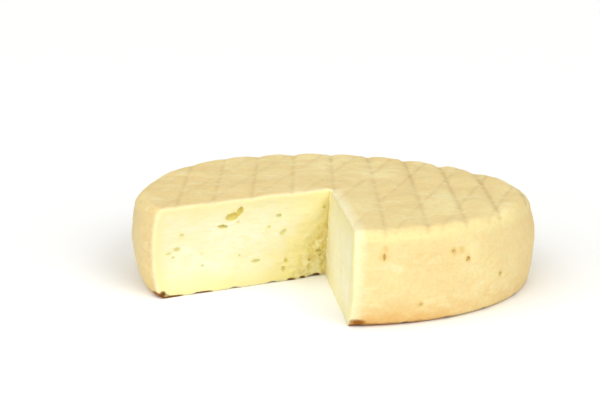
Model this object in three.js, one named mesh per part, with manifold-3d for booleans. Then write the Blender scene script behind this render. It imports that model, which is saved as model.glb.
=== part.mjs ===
// A low wheel of soft, washed-rind cheese with one wedge cut out of it.
// Millimetres, +Z up. The wheel's axis is Z, it stands on z = 0, and the cut opens towards -Y.
import * as THREE from "three";
import { mergeVertices } from "three/addons/utils/BufferGeometryUtils.js";
import Module from "manifold-3d";

const wasm = await Module();
wasm.setup();

const { degToRad } = THREE.MathUtils;

// The wheel, as it came out of its mould and settled.
const WHEEL_RADIUS = 90.2;
const WHEEL_HEIGHT = 39.85;
const SIDE_SWELL = 1.8; // the side stands out this far past the shoulder and the foot
// Unevenness of the side: waves that lean over as they go round the wheel.
const SIDE_WAVE = { depth: 0.4, lobes: 3, start: degToRad(10), lean: 4 };
const TOP_DOME = 0.9; // the top is this much lower at the rim than in the middle
const TOP_LEAN = { towards: degToRad(300), rise: 0.5 }; // and this much higher at one side of the rim

// The foot is a quarter of a circle, larger where the wheel is tucked in under itself.
const FOOT_ROLL = 3;
const FOOT_TUCKS = [
  { around: degToRad(185), spread: degToRad(15), roll: 7 },
  { around: degToRad(272), spread: degToRad(20), roll: 2 },
];

// The shoulder is a quarter of an ellipse, wider and lower where the rim has slumped.
const SHOULDER = { reach: 6, drop: 5.2 };
const SLUMPS = [
  { around: degToRad(45), spread: degToRad(50), reach: 20, drop: 9 },
  { around: degToRad(172), spread: degToRad(26), reach: 8.5, drop: 5 },
  { around: degToRad(300), spread: degToRad(36), reach: 5, drop: 1.5 },
];
const SHOULDER_TRIM = 0.9; // the top cuts the ellipse off this far below its crest, which leaves a crease

// Marks of the wire rack that the wheel dried on. It was turned once between two dryings.
const RACK_PITCH = 16.83;
const RACK_FIRST_WIRE = -66.7; // distance of the first wire from the wheel's axis
const RACK_SLACK = { shift: 2.3, wires: 8 }; // the wires stray this far from even spacing, in a slow wave
const RACK_WIRES = 10;
const MARK_WIDTH = 1.7;
const TOP_MARKS = [
  { turn: 0, shift: 0, depth: 1.15 },
  { turn: degToRad(-16.3), shift: 9, depth: 0.7 },
];
// Towards one side of the top the wires pressed in fully, and at the other end they left only a share of it.
const FULL_PRESS = { towards: degToRad(30), least: 0.3, from: -0.6, to: 0.3 };
const BASE_MARK = { shift: RACK_PITCH / 2, depth: 0.8 };
const WIRE_RADIUS = 3;

// The wedge that was cut out: its tip, the directions of its two sides and the knife's lean to the right.
const CUT_TIP = new THREE.Vector2(-3.2, -6.8);
const CUT_LEFT = degToRad(208.6);
const CUT_RIGHT = degToRad(275.7);
const KNIFE_LEAN = degToRad(2.9);

// Eyes that show in the left cut face: distance from the tip, height, width and thickness.
// The end of an eye that is further from the tip dips by its tilt, in degrees.
const EYE_DEPTH = 2.2;
const EYES = [
  { along: 44.3, up: 34.0, wide: 2.8, tall: 4.2, tilt: -24 },
  { along: 48.0, up: 32.0, wide: 6.4, tall: 3.2, tilt: 8 },
  { along: 51.8, up: 27.9, wide: 5.2, tall: 1.7, tilt: 4 },
  { along: 25.2, up: 30.0, wide: 2.8, tall: 1.8, tilt: 0 },
  { along: 29.9, up: 25.4, wide: 2.4, tall: 1.4, tilt: 0 },
  { along: 22.7, up: 22.2, wide: 4.4, tall: 1.7, tilt: 32 },
  { along: 73.5, up: 20.5, wide: 3.0, tall: 1.9, tilt: 0 },
  { along: 77.2, up: 19.0, wide: 2.4, tall: 1.5, tilt: 10 },
  { along: 71.5, up: 26.4, wide: 2.2, tall: 1.3, tilt: 0 },
  { along: 35.6, up: 10.9, wide: 4.2, tall: 1.5, tilt: 14 },
  { along: 22.0, up: 5.6, wide: 2.1, tall: 2.3, tilt: 0 },
  { along: 20.7, up: 9.5, wide: 1.7, tall: 2.2, tilt: 0 },
  { along: 4.3, up: 11.5, wide: 3.0, tall: 1.5, tilt: -8 },
];

// Pits in the rind of the side: direction round the wheel and height.
const PIT_RADIUS = 1.3;
const PIT_DEPTH = 0.9;
const SIDE_PITS = [
  { around: degToRad(282), up: 29 },
  { around: degToRad(302), up: 28.5 },
  { around: degToRad(306.5), up: 24.5 },
  { around: degToRad(319.5), up: 14.5 },
  { around: degToRad(292), up: 8.5 },
  { around: degToRad(20), up: 22 },
  { around: degToRad(95), up: 15 },
  { around: degToRad(152), up: 24 },
];

// Fineness of the faces.
const STEPS_AROUND = 108;
const STEPS_FOOT = 4;
const STEPS_SIDE = 5;
const STEPS_SHOULDER = 7;
const TOP_COLUMNS = 88; // across the rack's wires
const TOP_ROWS = 27; // along them
const WIRE_SIDES = 24;
const EYE_SIDES = { around: 10, down: 7 };
const PIT_SIDES = { around: 7, down: 5 };
const MARGIN = 4; // how far a cutting body reaches past the wheel

// A closed geometry as a solid that can be joined and cut.
function solidOf(geometry) {
  const bare = geometry.clone();
  bare.deleteAttribute("normal");
  bare.deleteAttribute("uv");
  const merged = mergeVertices(bare, 1e-4);
  return new wasm.Manifold(
    new wasm.Mesh({
      numProp: 3,
      vertProperties: new Float32Array(merged.attributes.position.array),
      triVerts: new Uint32Array(merged.index.array),
    }),
  );
}

// A solid's faces as a geometry that can be shown.
function geometryOf(solid) {
  const { vertProperties, triVerts } = solid.getMesh();
  const geometry = new THREE.BufferGeometry();
  geometry.setAttribute("position", new THREE.BufferAttribute(vertProperties, 3));
  geometry.setIndex(new THREE.BufferAttribute(triVerts, 1));
  geometry.computeVertexNormals();
  return geometry;
}

// How much of something that is strongest at one direction round the axis is felt at another.
function feltAt(around, place) {
  const away = Math.atan2(Math.sin(around - place.around), Math.cos(around - place.around));
  return Math.exp(-((away / place.spread) ** 2));
}

// How far the shoulder reaches in from the side and drops from the top, at one direction round the axis.
function shoulderAt(around) {
  let { reach, drop } = SHOULDER;
  for (const slump of SLUMPS) {
    const share = feltAt(around, slump);
    reach += slump.reach * share;
    drop += slump.drop * share;
  }
  return { reach, drop };
}

// The radius of the foot at one direction round the axis.
function footAt(around) {
  return FOOT_TUCKS.reduce((roll, tuck) => roll + tuck.roll * feltAt(around, tuck), FOOT_ROLL);
}

// The wheel's half section at one direction round the axis, from the middle of the base to that of the top.
function sectionAt(around) {
  const { reach, drop } = shoulderAt(around);
  const crest = WHEEL_HEIGHT + SHOULDER_TRIM;
  const springing = crest - drop; // where the side ends and the shoulder starts
  const roll = footAt(around);
  const radius = WHEEL_RADIUS - SIDE_SWELL;
  const points = [new THREE.Vector2(0, 0)];
  for (let i = 0; i <= STEPS_FOOT; i++) {
    const turn = ((i / STEPS_FOOT) * Math.PI) / 2;
    const inset = roll * (1 - Math.sin(turn));
    points.push(new THREE.Vector2(radius - inset, roll * (1 - Math.cos(turn))));
  }
  for (let i = 1; i < STEPS_SIDE; i++) {
    const t = i / STEPS_SIDE;
    const lobe = Math.sin(SIDE_WAVE.start + SIDE_WAVE.lobes * around + SIDE_WAVE.lean * (t - 0.5));
    const wave = SIDE_WAVE.depth * lobe * Math.sin(Math.PI * t);
    const swell = SIDE_SWELL * 4 * t * (1 - t);
    points.push(new THREE.Vector2(radius + swell + wave, THREE.MathUtils.lerp(roll, springing, t)));
  }
  for (let i = 0; i <= STEPS_SHOULDER; i++) {
    const turn = ((i / STEPS_SHOULDER) * Math.PI) / 2;
    const inset = reach * (1 - Math.cos(turn));
    points.push(new THREE.Vector2(radius - inset, springing + drop * Math.sin(turn)));
  }
  points.push(new THREE.Vector2(0, crest));
  return points;
}

// The whole wheel before the rack and the knife touched it.
function roundWheel() {
  const geometry = new THREE.LatheGeometry(sectionAt(0), STEPS_AROUND);
  const position = geometry.attributes.position;
  const rows = sectionAt(0).length;
  for (let step = 0; step <= STEPS_AROUND; step++) {
    const around = ((step % STEPS_AROUND) / STEPS_AROUND) * 2 * Math.PI;
    sectionAt(around).forEach((p, row) => {
      position.setXYZ(step * rows + row, p.x * Math.cos(around), p.x * Math.sin(around), p.y);
    });
  }
  return solidOf(geometry);
}

// How far a wire of the rack lies from the wheel's axis.
function wireOffset(wire, shift) {
  const slack = RACK_SLACK.shift * Math.sin((wire / RACK_SLACK.wires) * 2 * Math.PI);
  return RACK_FIRST_WIRE + shift + wire * RACK_PITCH - slack;
}

// How far a place lies towards one direction, as a share of the wheel's radius.
function shareTowards(x, y, direction) {
  return (x * Math.cos(direction) + y * Math.sin(direction)) / WHEEL_RADIUS;
}

// Height of the top at a place: a low, leaning dome with a soft furrow where each wire pressed in.
function topHeight(x, y) {
  const { smoothstep, lerp } = THREE.MathUtils;
  const pressed = smoothstep(shareTowards(x, y, FULL_PRESS.towards), FULL_PRESS.from, FULL_PRESS.to);
  const press = lerp(FULL_PRESS.least, 1, pressed);
  let furrow = 0;
  for (const { turn, shift, depth } of TOP_MARKS) {
    const across = x * Math.cos(turn) + y * Math.sin(turn);
    for (let wire = 0; wire < RACK_WIRES; wire++) {
      const away = (across - wireOffset(wire, shift)) / MARK_WIDTH;
      furrow = Math.max(furrow, (press * depth) / (1 + away * away));
    }
  }
  const out = Math.hypot(x, y) / WHEEL_RADIUS;
  const lean = TOP_LEAN.rise * shareTowards(x, y, TOP_LEAN.towards);
  return WHEEL_HEIGHT - TOP_DOME * out * out + lean - furrow;
}

// A block whose underside is the form of the finished top.
function topMould() {
  const side = 2 * (WHEEL_RADIUS + MARGIN);
  const thick = 4 * MARGIN;
  const geometry = new THREE.BoxGeometry(side, side, thick, TOP_COLUMNS, TOP_ROWS, 1);
  const position = geometry.attributes.position;
  for (let i = 0; i < position.count; i++) {
    const [x, y] = [position.getX(i), position.getY(i)];
    position.setZ(i, position.getZ(i) < 0 ? topHeight(x, y) : WHEEL_HEIGHT + thick);
  }
  return solidOf(geometry);
}

// One wire of the rack, lying along Y where it pressed into the base.
function baseWire(wire) {
  const length = 2 * (WHEEL_RADIUS + MARGIN);
  const geometry = new THREE.CylinderGeometry(WIRE_RADIUS, WIRE_RADIUS, length, WIRE_SIDES);
  geometry.translate(wireOffset(wire, BASE_MARK.shift), 0, BASE_MARK.depth - WIRE_RADIUS);
  return solidOf(geometry);
}

// The wedge, upright, then leaned as the knife was.
function wedge() {
  const far = 2 * WHEEL_RADIUS;
  const outline = new THREE.Shape([
    CUT_TIP,
    new THREE.Vector2(Math.cos(CUT_LEFT), Math.sin(CUT_LEFT)).multiplyScalar(far).add(CUT_TIP),
    new THREE.Vector2(Math.cos(CUT_RIGHT), Math.sin(CUT_RIGHT)).multiplyScalar(far).add(CUT_TIP),
  ]);
  const geometry = new THREE.ExtrudeGeometry(outline, {
    depth: WHEEL_HEIGHT + 2 * MARGIN,
    bevelEnabled: false,
  });
  geometry.translate(0, 0, -MARGIN);
  geometry.applyMatrix4(new THREE.Matrix4().makeShear(0, 0, 0, 0, Math.tan(KNIFE_LEAN), 0));
  return solidOf(geometry);
}

// One eye: a flattened bubble that the knife laid open on the left cut face.
function eye({ along, up, wide, tall, tilt }) {
  const geometry = new THREE.SphereGeometry(1, EYE_SIDES.around, EYE_SIDES.down);
  geometry.scale(wide / 2, EYE_DEPTH, tall / 2);
  geometry.rotateY(degToRad(tilt));
  const direction = new THREE.Vector3(Math.cos(CUT_LEFT), Math.sin(CUT_LEFT), 0);
  const upwards = new THREE.Vector3(0, 0, 1);
  const normal = upwards.clone().cross(direction);
  const place = new THREE.Matrix4().makeBasis(direction, normal, upwards);
  place.setPosition(
    CUT_TIP.x + along * direction.x + up * Math.tan(KNIFE_LEAN),
    CUT_TIP.y + along * direction.y,
    up,
  );
  geometry.applyMatrix4(place);
  return solidOf(geometry);
}

// One small pit in the rind of the side.
function pit({ around, up }) {
  const geometry = new THREE.SphereGeometry(PIT_RADIUS, PIT_SIDES.around, PIT_SIDES.down);
  const out = WHEEL_RADIUS + PIT_RADIUS - PIT_DEPTH;
  geometry.translate(out * Math.cos(around), out * Math.sin(around), up);
  return solidOf(geometry);
}

// The wheel with everything that was pressed into it or cut out of it taken away.
function cutWheel() {
  const wires = Array.from({ length: RACK_WIRES }, (_, wire) => wire);
  const cutters = [
    topMould(),
    ...wires.map(baseWire),
    wedge(),
    ...EYES.map(eye),
    ...SIDE_PITS.map(pit),
  ];
  return cutters.reduce((solid, cutter) => solid.subtract(cutter), roundWheel());
}

const cheese = new THREE.Mesh(
  geometryOf(cutWheel()),
  new THREE.MeshStandardMaterial({ color: 0xf6e2ab, roughness: 0.6, metalness: 0 }),
);
cheese.name = "cheese_wheel";

const part = new THREE.Group();
part.add(cheese);

export default part;
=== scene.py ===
"""A cut wheel of soft, washed-rind cheese, dressed for a studio picture.

The wheel is turned from its half section, slumps at the rim, is pressed by the rack that it dried on, and
is then cut by a leaning knife that lays open its eyes. Everything is in metres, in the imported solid's frame.
"""

import logging
import math
from collections.abc import Callable, Iterator
from contextlib import contextmanager
from dataclasses import dataclass, field
from enum import Enum
from typing import ClassVar

import bmesh
import bpy
import numpy as np
from mathutils import Matrix, Vector
from mathutils.bvhtree import BVHTree


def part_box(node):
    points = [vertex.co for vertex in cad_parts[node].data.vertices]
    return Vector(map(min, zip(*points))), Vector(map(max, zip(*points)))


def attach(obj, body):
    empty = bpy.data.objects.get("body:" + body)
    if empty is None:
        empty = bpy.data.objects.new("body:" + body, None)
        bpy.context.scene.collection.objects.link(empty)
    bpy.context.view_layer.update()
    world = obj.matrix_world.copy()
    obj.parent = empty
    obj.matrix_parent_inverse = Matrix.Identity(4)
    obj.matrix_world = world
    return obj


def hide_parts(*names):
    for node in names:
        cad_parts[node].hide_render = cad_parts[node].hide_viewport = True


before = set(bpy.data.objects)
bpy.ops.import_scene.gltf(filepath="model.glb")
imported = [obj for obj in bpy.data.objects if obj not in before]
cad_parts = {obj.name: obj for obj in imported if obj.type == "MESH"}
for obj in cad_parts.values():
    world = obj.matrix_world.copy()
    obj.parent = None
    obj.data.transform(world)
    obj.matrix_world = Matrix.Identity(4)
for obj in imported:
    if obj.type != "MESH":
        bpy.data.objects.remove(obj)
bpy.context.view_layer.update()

MM = 0.001
NODE = "cheese_wheel"
BODY = "root"
# The rind's lumps stand out a little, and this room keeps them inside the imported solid's box.
SIDE_ROOM = 0.45 * MM
TOP_ROOM = 0.35 * MM
LOG = logging.getLogger("cheese")


class Part(Enum):
    """What is picked in edit mode."""

    VERTEX = "VERT"
    EDGE = "EDGE"
    FACE = "FACE"


class Way(Enum):
    """Which way a painted depth moves a surface."""

    UP = "Z"
    OUTWARDS = "NORMAL"


class CutFace(Enum):
    """The two faces that the knife left, by the direction in which each runs out from the tip."""

    LEFT = math.radians(208.6)
    RIGHT = math.radians(275.7)


def linear(colour: str) -> tuple[float, float, float, float]:
    """Turns an sRGB colour into linear light.

    Args:
        colour: Six hex digits.

    Returns:
        Linear red, green and blue, and an alpha of one.
    """
    shares = [int(colour[i : i + 2], 16) / 255 for i in (0, 2, 4)]
    red, green, blue = (s / 12.92 if s <= 0.04045 else ((s + 0.055) / 1.055) ** 2.4 for s in shares)
    return red, green, blue, 1.0


def new_material(name: str) -> tuple[bpy.types.Material, bpy.types.NodeTree, bpy.types.Node]:
    """Starts a material.

    Args:
        name: What the surface is made of and how.

    Returns:
        The material, its nodes and its shader.
    """
    material = bpy.data.materials.new(name)
    material.use_nodes = True
    tree = material.node_tree
    return material, tree, tree.nodes["Principled BSDF"]


def add_node(
    tree: bpy.types.NodeTree, kind: str, inputs: dict | None = None, **settings: object
) -> bpy.types.NodeSocket:
    """Adds one node to a material, sets it and links it.

    Args:
        tree: The material's nodes.
        kind: The node's type, without the words that all shader nodes start with.
        inputs: A socket to link or a value to set, for each input by its name or number.
        settings: The node's own choices.

    Returns:
        The first of the new node's outputs that is in use.
    """
    node = tree.nodes.new("ShaderNode" + kind)
    for name, value in settings.items():
        setattr(node, name, value)
    for name, value in (inputs or {}).items():
        if isinstance(value, bpy.types.NodeSocket):
            tree.links.new(value, node.inputs[name])
        else:
            node.inputs[name].default_value = value
    return next(output for output in node.outputs if output.enabled)


def read_note(tree: bpy.types.NodeTree, name: str) -> bpy.types.NodeSocket:
    """Reads, in a material, a number that is noted on the piece's vertices."""
    return add_node(tree, "Attribute", attribute_name=name).node.outputs["Fac"]


def add_share(
    tree: bpy.types.NodeTree, base: bpy.types.NodeSocket, pattern: bpy.types.NodeSocket, amount: float
) -> bpy.types.NodeSocket:
    """Adds some of a pattern to a number."""
    return add_node(tree, "Math", {0: pattern, 1: amount, 2: base}, operation="MULTIPLY_ADD")


def ragged(
    tree: bpy.types.NodeTree, name: str, pattern: bpy.types.NodeSocket, amount: float
) -> bpy.types.NodeSocket:
    """Adds some of a pattern to a noted number, so that its edge comes out ragged."""
    return add_share(tree, read_note(tree, name), pattern, amount)


def spread(
    tree: bpy.types.NodeTree,
    pattern: bpy.types.NodeSocket,
    start: tuple[float, float],
    end: tuple[float, float] = (0.0, 1.0),
) -> bpy.types.NodeSocket:
    """Spreads a pattern from one range over another, and keeps it inside that one.

    Args:
        tree: The material's nodes.
        pattern: The pattern.
        start: The range that it has.
        end: The range that it gets.

    Returns:
        The spread pattern.
    """
    (low, high), (least, most) = start, end
    limits = {"Value": pattern, "From Min": low, "From Max": high, "To Min": least, "To Max": most}
    return add_node(tree, "MapRange", limits)


def cloud(
    tree: bpy.types.NodeTree,
    place: bpy.types.NodeSocket,
    size: float,
    roughness: float = 0.5,
    flatness: float = 1.0,
    detail: float = 3.0,
) -> bpy.types.NodeSocket:
    """Makes a cloudy pattern.

    Args:
        tree: The material's nodes.
        place: Where on the piece.
        size: How wide its patches are.
        roughness: How strong the smaller patches in them are.
        flatness: How much wider they are than they are high.
        detail: How many sizes of smaller patches they hold.

    Returns:
        A number that is mostly between 0.3 and 0.7.
    """
    squeezed = add_node(tree, "VectorMath", {0: place, 1: (1, 1, flatness)}, operation="MULTIPLY")
    patches = {"Vector": squeezed, "Scale": 1 / size, "Detail": detail, "Roughness": roughness}
    return add_node(tree, "TexNoise", patches)


def lay_tint(
    tree: bpy.types.NodeTree,
    colour: bpy.types.NodeSocket | tuple,
    pattern: bpy.types.NodeSocket,
    start: float,
    end: float,
    tint: str,
    most: float = 1.0,
) -> bpy.types.NodeSocket:
    """Lays a tint over a colour.

    Args:
        tree: The material's nodes.
        colour: The colour so far.
        pattern: The number that says where the tint goes.
        start: The number that gives none of the tint.
        end: The number that gives the most of it, above or below the start.
        tint: The tint, as six hex digits.
        most: The tint's share where there is most of it.

    Returns:
        The tinted colour.
    """
    share = spread(tree, pattern, (start, end), (0.0, most))
    return add_node(tree, "Mix", {0: share, 6: colour, 7: linear(tint)}, data_type="RGBA")


@dataclass(frozen=True)
class Sheen:
    """How a soft surface shines, how far light soaks into it and how its fine relief shows."""

    roughness: float
    shine: float
    soak: float
    soak_colour: tuple[float, float, float]
    soak_depth: float
    relief_strength: float = 0.4
    relief_depth: float = 0.5 * MM

    def put_on(self, shader: bpy.types.Node) -> None:
        """Sets a shader to this sheen.

        Args:
            shader: The material's shader.
        """
        for name, value in (
            ("Roughness", self.roughness),
            ("Specular IOR Level", self.shine),
            ("Subsurface Weight", self.soak),
            ("Subsurface Radius", self.soak_colour),
            ("Subsurface Scale", self.soak_depth),
        ):
            shader.inputs[name].default_value = value

    def raise_relief(
        self, tree: bpy.types.NodeTree, shader: bpy.types.Node, height: bpy.types.NodeSocket
    ) -> None:
        """Lets a pattern show as fine relief.

        Args:
            tree: The material's nodes.
            shader: The material's shader.
            height: The pattern.
        """
        relief = {"Height": height, "Strength": self.relief_strength, "Distance": self.relief_depth}
        tree.links.new(add_node(tree, "Bump", relief), shader.inputs["Normal"])


def pick_object(piece: bpy.types.Object) -> None:
    """Deselects everything and makes one piece the selected, active one.

    Args:
        piece: The piece.
    """
    bpy.ops.object.select_all(action="DESELECT")
    piece.select_set(True)
    bpy.context.view_layer.objects.active = piece


def newest(name: str) -> bpy.types.Object:
    """Names the primitive that was just added and puts its place and size into its mesh.

    Args:
        name: The piece's name.

    Returns:
        The piece.
    """
    piece = bpy.context.active_object
    piece.name = name
    piece.data.name = name
    pick_object(piece)
    bpy.ops.object.transform_apply(location=True, rotation=True, scale=True)
    return piece


def joined(pieces: list[bpy.types.Object]) -> bpy.types.Object:
    """Joins pieces into the first of them.

    Args:
        pieces: The pieces.

    Returns:
        The joined piece.
    """
    pick_object(pieces[0])
    for piece in pieces:
        piece.select_set(True)
    bpy.ops.object.join()
    return pieces[0]


@contextmanager
def editing(piece: bpy.types.Object) -> Iterator[None]:
    """Opens a piece in edit mode, with nothing in it selected, and closes it again.

    Args:
        piece: The mesh object to edit.
    """
    pick_object(piece)
    bpy.ops.object.mode_set(mode="EDIT")
    bpy.ops.mesh.select_all(action="DESELECT")
    yield
    bpy.ops.object.mode_set(mode="OBJECT")


def pick(piece: bpy.types.Object, part: Part, test: Callable[..., bool]) -> None:
    """Selects, in edit mode, only the vertices, edges or faces that pass a test.

    Args:
        piece: The mesh object that is being edited.
        part: What to select.
        test: Says whether one vertex, edge or face is selected.
    """
    bpy.ops.mesh.select_mode(type=part.value)
    bpy.ops.mesh.select_all(action="DESELECT")
    mesh = bmesh.from_edit_mesh(piece.data)
    items = {Part.VERTEX: mesh.verts, Part.EDGE: mesh.edges, Part.FACE: mesh.faces}[part]
    for item in items:
        if test(item):
            item.select_set(True)
    bmesh.update_edit_mesh(piece.data)


def apply_modifier(piece: bpy.types.Object, kind: str, **settings: object) -> None:
    """Adds a modifier to a piece and applies it.

    Args:
        piece: The mesh object.
        kind: The modifier's type.
        settings: The modifier's own choices.
    """
    pick_object(piece)
    modifier = piece.modifiers.new(kind.lower(), kind)
    for name, value in settings.items():
        setattr(modifier, name, value)
    bpy.ops.object.modifier_apply(modifier=modifier.name)


def places(piece: bpy.types.Object) -> np.ndarray:
    """Gives the places of a piece's vertices.

    Args:
        piece: The mesh object.

    Returns:
        One row of x, y and z for each vertex.
    """
    found = np.empty(len(piece.data.vertices) * 3)
    piece.data.vertices.foreach_get("co", found)
    return found.reshape(-1, 3)


@contextmanager
def painted(piece: bpy.types.Object, shares: np.ndarray) -> Iterator[str]:
    """Paints a share from 0 to 1 on a piece's vertices, for as long as a modifier needs it.

    Args:
        piece: The mesh object.
        shares: One share for each vertex.

    Yields:
        The name of the vertex group that holds the paint.
    """
    least = 0.002
    group = piece.vertex_groups.new(name="paint")
    for index in np.flatnonzero(shares > least):
        group.add([int(index)], float(shares[index]), "REPLACE")
    name = group.name
    yield name
    piece.vertex_groups.remove(piece.vertex_groups[name])


def push(piece: bpy.types.Object, depth: np.ndarray, way: Way, inwards: bool = True) -> None:
    """Pushes a piece's surface by a depth that is painted on its vertices.

    Args:
        piece: The mesh object.
        depth: How far each vertex moves, in metres, never negative.
        way: The direction that the depth is measured in.
        inwards: Whether the surface goes down or in, rather than up or out.
    """
    deepest = float(depth.max())
    strength = -deepest if inwards else deepest
    with painted(piece, depth / deepest) as paint:
        apply_modifier(
            piece, "DISPLACE", direction=way.value, strength=strength, mid_level=0.0, vertex_group=paint
        )


def roughen(
    piece: bpy.types.Object, size: float, depth: float, shares: np.ndarray, flatten: float = 1.0
) -> None:
    """Gives a piece's surface soft lumps, as much out of it as into it.

    Args:
        piece: The mesh object.
        size: How far apart the lumps are.
        depth: Their height from lowest to highest.
        shares: How much of it each vertex takes, from 0 to 1.
        flatten: How tall the lumps are for their width.
    """
    texture = bpy.data.textures.new("lumps", "CLOUDS")
    texture.noise_scale = size
    texture.noise_depth = 1
    bpy.ops.object.empty_add()
    guide = bpy.context.active_object
    guide.scale.z = flatten
    bpy.context.view_layer.update()
    with painted(piece, shares) as paint:
        apply_modifier(
            piece,
            "DISPLACE",
            texture=texture,
            texture_coords="OBJECT",
            texture_coords_object=guide,
            strength=depth,
            mid_level=0.5,
            vertex_group=paint,
        )
    bpy.data.objects.remove(guide)
    bpy.data.textures.remove(texture)


def note(piece: bpy.types.Object, name: str, values: np.ndarray) -> None:
    """Writes one number on each vertex of a piece, for its finish to read.

    Args:
        piece: The mesh object.
        name: What the number is called.
        values: One number for each vertex.
    """
    attribute = piece.data.attributes.new(name, "FLOAT", "POINT")
    attribute.data.foreach_set("value", values.astype(np.float32))


def ease(values: np.ndarray, start: float, end: float) -> np.ndarray:
    """Eases from 0 at one value to 1 at another.

    Args:
        values: The values.
        start: The value that gives 0.
        end: The value that gives 1, above or below the start.

    Returns:
        Shares from 0 to 1.
    """
    share = np.clip((values - start) / (end - start), 0, 1)
    return share * share * (3 - 2 * share)


def bell(values: np.ndarray, middle: float, spread: float) -> np.ndarray:
    """Gives 1 at a middle value, falling away to 0 on either side of it."""
    return np.exp(-(((values - middle) / spread) ** 2))


def blend_lower(first: np.ndarray, second: np.ndarray, roll: float) -> np.ndarray:
    """Takes the lower of two heights, with the crease between them rolled over.

    Args:
        first: Heights of one surface.
        second: Heights of the other.
        roll: How far from the crease the rolling starts, in height.

    Returns:
        The heights of the joined surface.
    """
    near = np.clip(0.5 + 0.5 * (second - first) / roll, 0, 1)
    return second + (first - second) * near - roll * near * (1 - near)


@dataclass(frozen=True)
class Stretch:
    """A stretch of the rim: the direction of its middle and how far it spreads to either side, in degrees."""

    around: float
    spread: float

    def share(self, x: np.ndarray, y: np.ndarray) -> np.ndarray:
        """Says how much of the stretch is felt at each place.

        Args:
            x: Places across the wheel.
            y: Places along it.

        Returns:
            Shares from 0 to 1.
        """
        away = np.angle(np.exp(1j * (np.arctan2(y, x) - math.radians(self.around))))
        return bell(away, 0, math.radians(self.spread))


@dataclass(frozen=True)
class Slump(Stretch):
    """A stretch where the shoulder has sunk under its own weight: how much wider and lower it is."""

    reach: float
    drop: float


@dataclass(frozen=True)
class Tuck(Stretch):
    """A stretch where the foot rolls under further: how much larger its radius is."""

    roll: float


@dataclass(frozen=True)
class RackMark:
    """How the wheel lay on the rack during one drying, and how deep the wires went."""

    turn: float
    shift: float
    depth: float


@dataclass(frozen=True)
class DryingRack:
    """The rack of stiff wires that the wheel dried on."""

    pitch: float = 16.83 * MM
    first_wire: float = -66.7 * MM
    slack: float = 2.3 * MM
    slack_wires: int = 8
    wires: int = 10
    mark_width: float = 1.7 * MM

    def offsets(self, x: np.ndarray, y: np.ndarray, mark: RackMark) -> np.ndarray:
        """Measures how far places are from the nearest wire.

        Args:
            x: Places across the wheel.
            y: Places along the wires of an unturned rack.
            mark: How the wheel lay.

        Returns:
            Distances in metres, negative on one side of the wire.
        """
        wires = np.arange(self.wires)
        slack = self.slack * np.sin(wires / self.slack_wires * 2 * math.pi)
        centres = self.first_wire + mark.shift + wires * self.pitch - slack
        across = x * math.cos(mark.turn) + y * math.sin(mark.turn)
        away = across[:, None] - centres
        return away[np.arange(len(away)), np.abs(away).argmin(axis=1)]

    def furrows(self, x: np.ndarray, y: np.ndarray, mark: RackMark) -> np.ndarray:
        """Works out how deep the wires pressed in at each place.

        Args:
            x: Places across the wheel.
            y: Places along the wires of an unturned rack.
            mark: How the wheel lay.

        Returns:
            Depths in metres.
        """
        away = self.offsets(x, y, mark) / self.mark_width
        return mark.depth / (1 + away * away)


@dataclass(frozen=True)
class Hole:
    """A hole in a surface, in millimetres and degrees.

    Its place is how far along it is, out from the cut's tip or in degrees round the rim, and how far up. It
    has a size, the angle by which one end dips, and a share of the usual depth for its size.
    """

    USUAL_DEPTH: ClassVar[float] = 0.4
    LEAST_DEPTH: ClassVar[float] = 0.3
    UNEVENNESS: ClassVar[float] = 0.45
    LUMP_SIZE: ClassVar[float] = 1.7 * MM
    LARGE: ClassVar[float] = 2.5
    FINE: ClassVar[int] = 4
    COARSE: ClassVar[int] = 3

    along: float
    up: float
    wide: float
    tall: float
    tilt: float = 0.0
    depth: float = 1.0

    def bubble(self, place: Vector, run: Vector) -> bpy.types.Object:
        """Models the hole as a flattened, uneven bubble, half of it behind the surface.

        Args:
            place: The hole's middle, on the surface.
            run: The level direction along the surface.

        Returns:
            The bubble.
        """
        upright = Matrix((run, Vector((0, 0, 1)).cross(run), (0, 0, 1))).transposed()
        turned = upright @ Matrix.Rotation(math.radians(self.tilt), 3, "Y")
        deep = self.depth * (self.USUAL_DEPTH * math.sqrt(self.wide * self.tall) + self.LEAST_DEPTH)
        bpy.ops.mesh.primitive_ico_sphere_add(
            subdivisions=self.FINE if max(self.wide, self.tall) > self.LARGE else self.COARSE,
            radius=1,
            location=place,
            rotation=turned.to_euler(),
        )
        bpy.context.active_object.scale = Vector((self.wide / 2, deep, self.tall / 2)) * MM
        bubble = newest("bubble")
        unevenness = self.UNEVENNESS * min(self.wide, self.tall) * MM
        roughen(bubble, self.LUMP_SIZE, unevenness, np.ones(len(bubble.data.vertices)))
        return bubble


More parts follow.
